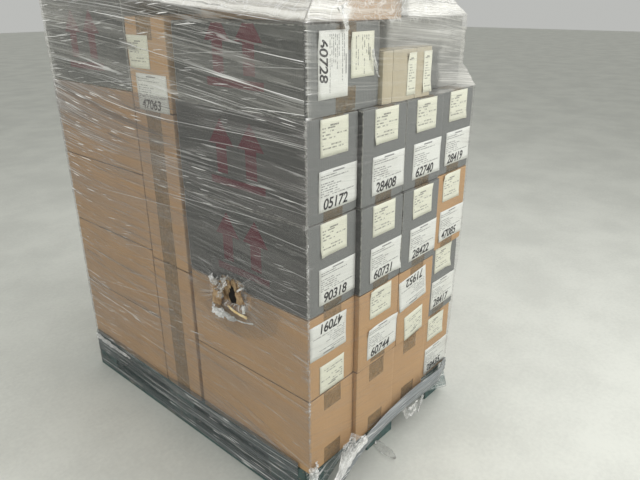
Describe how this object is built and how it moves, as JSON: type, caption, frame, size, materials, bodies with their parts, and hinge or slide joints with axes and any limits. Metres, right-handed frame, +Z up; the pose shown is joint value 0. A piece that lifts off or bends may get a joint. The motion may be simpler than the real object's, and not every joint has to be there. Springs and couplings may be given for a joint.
{
  "type": "shrink wrapped pallet load",
  "caption": "Wooden pallet stacked with closed cardboard cartons under clear stretch film, for storage and transport.",
  "frame": {"origin": "centre of the pallet's footprint, on the floor under the middle runner", "axes": "+Z up; +Y along the pallet's long side, away from the label face; +X across the pallet"},
  "size_m": [0.8022, 1.2995, 1.5978],
  "materials": {
    "brown_board": "matte",
    "grey_board": "matte",
    "beige_board": "matte",
    "tape": "satin",
    "label_paper": "matte",
    "painted_wood": "matte",
    "stretch_film": "gloss"
  },
  "bodies": {
    "root": {"carton_far_layer1_left": "brown_board", "carton_far_layer2_left": "brown_board", "carton_far_layer3_left": "brown_board", "carton_far_layer4_left": "brown_board", "carton_far_layer5_left": "grey_board", "carton_middle_tier1_left": "brown_board", "carton_middle_tier1_right": "brown_board", "carton_middle_tier2_left": "brown_board", "carton_middle_tier2_right": "brown_board", "carton_middle_top_left": "brown_board", "carton_middle_top_right": "brown_board", "carton_near_layer1_col1": "brown_board", "carton_near_layer1_col2": "brown_board", "carton_near_layer1_col3": "brown_board", "carton_near_layer1_col4": "brown_board", "carton_near_layer2_col1": "brown_board", "carton_near_layer2_col2": "brown_board", "carton_near_layer2_col3": "brown_board", "carton_near_layer2_col4": "grey_board", "carton_near_layer3_col1": "grey_board", "carton_near_layer3_col2": "grey_board", "carton_near_layer3_col3": "grey_board", "carton_near_layer3_col4": "brown_board", "carton_near_layer4_col1": "grey_board", "carton_near_layer4_col2": "grey_board", "carton_near_layer4_col3": "grey_board", "carton_near_layer4_col4": "grey_board", "carton_roof": "brown_board", "carton_small_1": "beige_board", "carton_small_2": "beige_board", "carton_small_3": "beige_board", "carton_top_hidden": "grey_board", "carton_top_lying": "grey_board", "carton_top_turned": "grey_board", "cartons_far_layer1": "brown_board", "cartons_far_layer2": "brown_board", "cartons_far_layer3": "brown_board", "cartons_far_layer4": "brown_board", "cartons_far_layer5": "grey_board", "closing_tape_bottoms": "tape", "closing_tape_tops": "tape", "film_floor_tail": "stretch_film", "film_front_band": "stretch_film", "film_skirt_left": "stretch_film", "film_skirt_right": "stretch_film", "film_top": "stretch_film", "film_wrap": "stretch_film", "middle_core": "brown_board", "pallet_blocks": "painted_wood", "pallet_cross_boards": "painted_wood", "pallet_deck_boards": "painted_wood", "pallet_runners": "painted_wood", "paper_labels": "label_paper"}
  },
  "joints": []
}
